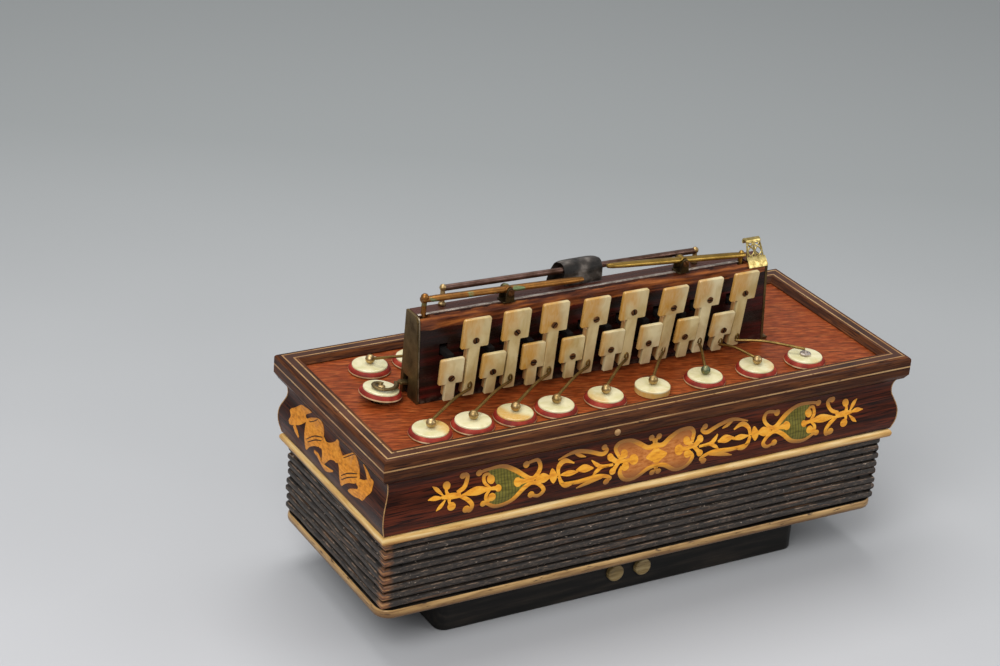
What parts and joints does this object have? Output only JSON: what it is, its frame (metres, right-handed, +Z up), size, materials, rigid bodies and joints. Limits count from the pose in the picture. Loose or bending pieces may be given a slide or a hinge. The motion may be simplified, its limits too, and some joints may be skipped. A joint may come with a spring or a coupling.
{
  "type": "flutina",
  "caption": "Small bellows-blown reed instrument: moulded rosewood case on folded bellows and a black plinth, with an upright board of pearl keys and round wire-carried pallets.",
  "frame": {"origin": "centre of the plinth's underside, on the surface that the instrument stands on", "axes": "+X along the keyboard towards the treble end, +Y to the back, +Z up"},
  "size_m": [0.3052, 0.1212, 0.1683],
  "materials": {
    "rosewood": "French-polished dark rosewood, worn at the edges",
    "soundboard_wood": "striped reddish rosewood veneer, satin polish",
    "keyboard_wood": "dark polished rosewood with a worn chamfer",
    "ebonised_wood": "black stained and varnished wood, rubbed",
    "gilt_wood": "gilt edging, rubbed in places",
    "bellows_leather": "black paper and leather folds, worn",
    "brass": "aged brass with dark patina",
    "steel": "drawn wire",
    "pearl": "polished mother-of-pearl facing, yellowed",
    "pallet_leather": "red leather washer on cream leather",
    "strap_leather": "grey-black soft leather, creased",
    "pine": "bare softwood"
  },
  "bodies": {
    "base": {"plinth": "ebonised_wood", "bottom_board": "gilt_wood", "bellows": "bellows_leather"},
    "case": {"bead_trim": "gilt_wood", "wall_front": "rosewood", "wall_back": "rosewood", "wall_left": "rosewood", "wall_right": "rosewood", "top_moulding": "rosewood", "soundboard": "soundboard_wood", "reed_pan": "pine", "reed_plate": "brass", "keyboard_board": "keyboard_wood", "end_plate_left": "brass", "end_plate_right": "brass", "fret_bracket": "brass", "key_axle": "steel", "lower_key_pin": "steel", "lever_bracket_left": "brass", "lever_bracket_right": "brass", "thumb_rail": "brass", "thumb_strap": "strap_leather"},
    "button_left": {"base_button_left": "brass"},
    "button_right": {"base_button_right": "brass"},
    "lever_left": {"thumb_lever_left": "brass"},
    "lever_right": {"thumb_lever_right": "brass"},
    "bass_valve": {"bass_arm": "brass", "bass_pallet": "pallet_leather"},
    "long_key_1": {"key_long_1": "pearl", "pallet_long_1": "pallet_leather"},
    "long_key_2": {"key_long_2": "pearl", "pallet_long_2": "pallet_leather"},
    "long_key_3": {"key_long_3": "pearl", "pallet_long_3": "pallet_leather"},
    "long_key_4": {"key_long_4": "pearl", "pallet_long_4": "pallet_leather"},
    "long_key_5": {"key_long_5": "pearl", "pallet_long_5": "pallet_leather"},
    "long_key_6": {"key_long_6": "pearl", "pallet_long_6": "pallet_leather"},
    "long_key_7": {"key_long_7": "pearl", "pallet_long_7": "pallet_leather"},
    "long_key_8": {"key_long_8": "pearl", "pallet_long_8": "pallet_leather"},
    "short_key_1": {"key_short_1": "pearl", "pallet_short_1": "pallet_leather"},
    "short_key_2": {"key_short_2": "pearl", "pallet_short_2": "pallet_leather"},
    "short_key_3": {"key_short_3": "pearl", "pallet_short_3": "pallet_leather"},
    "short_key_4": {"key_short_4": "pearl", "pallet_short_4": "pallet_leather"},
    "short_key_5": {"key_short_5": "pearl", "pallet_short_5": "pallet_leather"},
    "short_key_6": {"key_short_6": "pearl", "pallet_short_6": "pallet_leather"},
    "short_key_7": {"key_short_7": "pearl", "pallet_short_7": "pallet_leather"},
    "short_key_8": {"key_short_8": "pearl", "pallet_short_8": "pallet_leather"}
  },
  "joints": [
    {"name": "bellows_stroke", "type": "slide", "parent": "base", "child": "case", "axis": [0, 0, 1], "range_m": [0, 0.11], "deforming": ["bellows"]},
    {"name": "button_left_push", "type": "slide", "parent": "base", "child": "button_left", "axis": [0, 1, 0], "range_m": [0, 0.0022], "stiffness_N_per_m": 200, "springref_m": -0.003},
    {"name": "button_right_push", "type": "slide", "parent": "base", "child": "button_right", "axis": [0, 1, 0], "range_m": [0, 0.0022], "stiffness_N_per_m": 200, "springref_m": -0.003},
    {"name": "lever_left_rock", "type": "hinge", "parent": "case", "child": "lever_left", "pos_m": [-0.059, -0.0022, 0.1615], "axis": [0, 1, 0], "range_deg": [-1.05, 1.3]},
    {"name": "lever_right_rock", "type": "hinge", "parent": "case", "child": "lever_right", "pos_m": [0.0426, -0.0022, 0.1615], "axis": [0, 1, 0], "range_deg": [-6, 0], "stiffness_Nm_per_rad": 0.1, "springref_deg": 17.19},
    {"name": "bass_arm_lift", "type": "hinge", "parent": "case", "child": "bass_valve", "pos_m": [-0.101, 0.003, 0.1166], "axis": [0, 1, 0], "range_deg": [-6.5, 8]},
    {"name": "long_key_1_press", "type": "hinge", "parent": "case", "child": "long_key_1", "pos_m": [-0.08382, -0.0045, 0.137], "axis": [1, 0, 0], "range_deg": [-7, 0], "stiffness_Nm_per_rad": 0.03, "springref_deg": 20.05},
    {"name": "long_key_2_press", "type": "hinge", "parent": "case", "child": "long_key_2", "pos_m": [-0.06157, -0.0045, 0.137], "axis": [1, 0, 0], "range_deg": [-7, 0], "stiffness_Nm_per_rad": 0.03, "springref_deg": 20.05},
    {"name": "long_key_3_press", "type": "hinge", "parent": "case", "child": "long_key_3", "pos_m": [-0.03932, -0.0045, 0.137], "axis": [1, 0, 0], "range_deg": [-7, 0], "stiffness_Nm_per_rad": 0.03, "springref_deg": 20.05},
    {"name": "long_key_4_press", "type": "hinge", "parent": "case", "child": "long_key_4", "pos_m": [-0.01707, -0.0045, 0.137], "axis": [1, 0, 0], "range_deg": [-7, 0], "stiffness_Nm_per_rad": 0.03, "springref_deg": 20.05},
    {"name": "long_key_5_press", "type": "hinge", "parent": "case", "child": "long_key_5", "pos_m": [0.00517, -0.0045, 0.137], "axis": [1, 0, 0], "range_deg": [-7, 0], "stiffness_Nm_per_rad": 0.03, "springref_deg": 20.05},
    {"name": "long_key_6_press", "type": "hinge", "parent": "case", "child": "long_key_6", "pos_m": [0.02742, -0.0045, 0.137], "axis": [1, 0, 0], "range_deg": [-7, 0], "stiffness_Nm_per_rad": 0.03, "springref_deg": 20.05},
    {"name": "long_key_7_press", "type": "hinge", "parent": "case", "child": "long_key_7", "pos_m": [0.04968, -0.0045, 0.137], "axis": [1, 0, 0], "range_deg": [-7, 0], "stiffness_Nm_per_rad": 0.03, "springref_deg": 20.05},
    {"name": "long_key_8_press", "type": "hinge", "parent": "case", "child": "long_key_8", "pos_m": [0.07193, -0.0045, 0.137], "axis": [1, 0, 0], "range_deg": [-7, 0], "stiffness_Nm_per_rad": 0.03, "springref_deg": 20.05},
    {"name": "short_key_1_press", "type": "hinge", "parent": "case", "child": "short_key_1", "pos_m": [-0.09495, -0.0045, 0.137], "axis": [1, 0, 0], "range_deg": [0, 7], "stiffness_Nm_per_rad": 0.03, "springref_deg": -20.05},
    {"name": "short_key_2_press", "type": "hinge", "parent": "case", "child": "short_key_2", "pos_m": [-0.0727, -0.0045, 0.137], "axis": [1, 0, 0], "range_deg": [0, 7], "stiffness_Nm_per_rad": 0.03, "springref_deg": -20.05},
    {"name": "short_key_3_press", "type": "hinge", "parent": "case", "child": "short_key_3", "pos_m": [-0.05045, -0.0045, 0.137], "axis": [1, 0, 0], "range_deg": [0, 7], "stiffness_Nm_per_rad": 0.03, "springref_deg": -20.05},
    {"name": "short_key_4_press", "type": "hinge", "parent": "case", "child": "short_key_4", "pos_m": [-0.0282, -0.0045, 0.137], "axis": [1, 0, 0], "range_deg": [0, 7], "stiffness_Nm_per_rad": 0.03, "springref_deg": -20.05},
    {"name": "short_key_5_press", "type": "hinge", "parent": "case", "child": "short_key_5", "pos_m": [-0.00595, -0.0045, 0.137], "axis": [1, 0, 0], "range_deg": [0, 7], "stiffness_Nm_per_rad": 0.03, "springref_deg": -20.05},
    {"name": "short_key_6_press", "type": "hinge", "parent": "case", "child": "short_key_6", "pos_m": [0.0163, -0.0045, 0.137], "axis": [1, 0, 0], "range_deg": [0, 7], "stiffness_Nm_per_rad": 0.03, "springref_deg": -20.05},
    {"name": "short_key_7_press", "type": "hinge", "parent": "case", "child": "short_key_7", "pos_m": [0.03855, -0.0045, 0.137], "axis": [1, 0, 0], "range_deg": [0, 7], "stiffness_Nm_per_rad": 0.03, "springref_deg": -20.05},
    {"name": "short_key_8_press", "type": "hinge", "parent": "case", "child": "short_key_8", "pos_m": [0.0608, -0.0045, 0.119], "axis": [1, 0, 0], "range_deg": [-7, 0], "stiffness_Nm_per_rad": 0.03, "springref_deg": 20.05}
  ],
  "couplings": [
    {"joint": "bass_arm_lift", "follows": "lever_left_rock", "ratio": 6}
  ]
}
